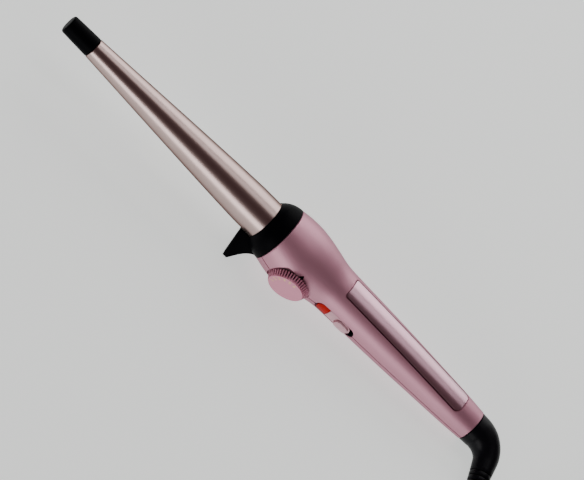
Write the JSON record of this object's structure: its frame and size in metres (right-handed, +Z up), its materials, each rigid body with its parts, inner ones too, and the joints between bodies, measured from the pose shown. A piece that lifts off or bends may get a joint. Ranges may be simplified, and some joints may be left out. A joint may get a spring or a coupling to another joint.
{
  "type": "curling wand",
  "caption": "Conical hair curling wand with heat-proof tip, stand fin, temperature dial, slide switch, inlay panel and swivel cord with plug.",
  "frame": {"origin": "on the surface that the wand lies on, under the middle of the wand's own box (the free cord and its boot left out)", "axes": "+Z up; +X along the wand from its tip towards its cord end, the wand's own axis leaning 3.75 degrees nose up; the dial and the switch face -Y and the inlay panel faces up"},
  "size_m": [0.49, 0.119, 0.0393],
  "materials": {
    "black_plastic": "semi-gloss moulded black, heat resistant",
    "barrel_coating": "champagne rose metallic coating, glossy",
    "aluminium": "as machined",
    "dark_part": "dark moulded plastic",
    "steel": "zinc or nickel plated",
    "heat_plastic": "natural heat-proof plastic",
    "pink_casing": "pearl pink lacquer over moulded plastic",
    "panel_finish": "metallised pink, high gloss",
    "dial_pink": "satin pink",
    "red_lens": "clear red plastic",
    "button_pink": "satin pale pink",
    "lamp_glass": "small red lamp",
    "circuit_board": "green board",
    "capacitor_case": "dipped case",
    "wire_sleeve": "silicone sleeve",
    "brass": "bright",
    "black_rubber": "soft black, satin",
    "cord_tie": "woven hook and loop strap"
  },
  "bodies": {
    "wand": {"cool_tip": "black_plastic", "barrel": "barrel_coating", "heater_core_upper": "aluminium", "heater_core_lower": "aluminium", "ptc_heater": "dark_part", "thermistor": "steel", "thermal_fuse": "steel", "barrel_seat": "heat_plastic", "barrel_screw_upper": "steel", "barrel_screw_lower": "steel", "collar": "black_plastic", "upper_shell": "pink_casing", "lower_shell": "pink_casing", "shell_screw_1": "steel", "shell_screw_2": "steel", "shell_screw_3": "steel", "inlay_panel": "panel_finish", "potentiometer": "dark_part", "indicator_lens": "red_lens", "switch_tray": "black_plastic", "slide_switch": "dark_part", "indicator_lamp": "lamp_glass", "circuit_board": "circuit_board", "film_capacitor": "capacitor_case", "triac": "dark_part", "control_chip": "dark_part", "fuse_resistor": "capacitor_case", "heater_lead_a": "wire_sleeve", "heater_lead_b": "wire_sleeve", "sensor_lead": "wire_sleeve", "mains_wire_line": "wire_sleeve", "mains_wire_neutral": "wire_sleeve", "swivel_socket": "black_plastic", "brush_line": "brass", "brush_neutral": "brass"},
    "dial": {"temperature_dial": "dial_pink", "potentiometer_shaft": "steel"},
    "switch": {"switch_button": "button_pink", "switch_lever": "dark_part"},
    "cord_set": {"swivel_rotor": "heat_plastic", "contact_ring_line": "brass", "contact_ring_neutral": "brass", "cord_boot": "black_rubber", "cord_lead": "black_rubber", "cord_hank": "black_rubber", "cord_tie": "cord_tie", "cord_tail": "black_rubber", "plug_body": "black_rubber", "plug_pin_left": "steel", "plug_pin_right": "steel"}
  },
  "joints": [
    {"name": "dial_turn", "type": "hinge", "parent": "wand", "child": "dial", "pos_m": [0.02554, -0.02035, 0.01901], "axis": [0.0956, -0.9954, -0.0063], "range_deg": [-60, 180]},
    {"name": "switch_slide", "type": "slide", "parent": "wand", "child": "switch", "axis": [0.9979, 0, -0.0654], "range_m": [0, 0.0019]},
    {"name": "cord_swivel", "type": "hinge", "parent": "wand", "child": "cord_set", "pos_m": [0.15955, 0.00195, 0.01023], "axis": [0.9979, 0, -0.0654], "continuous": true}
  ]
}
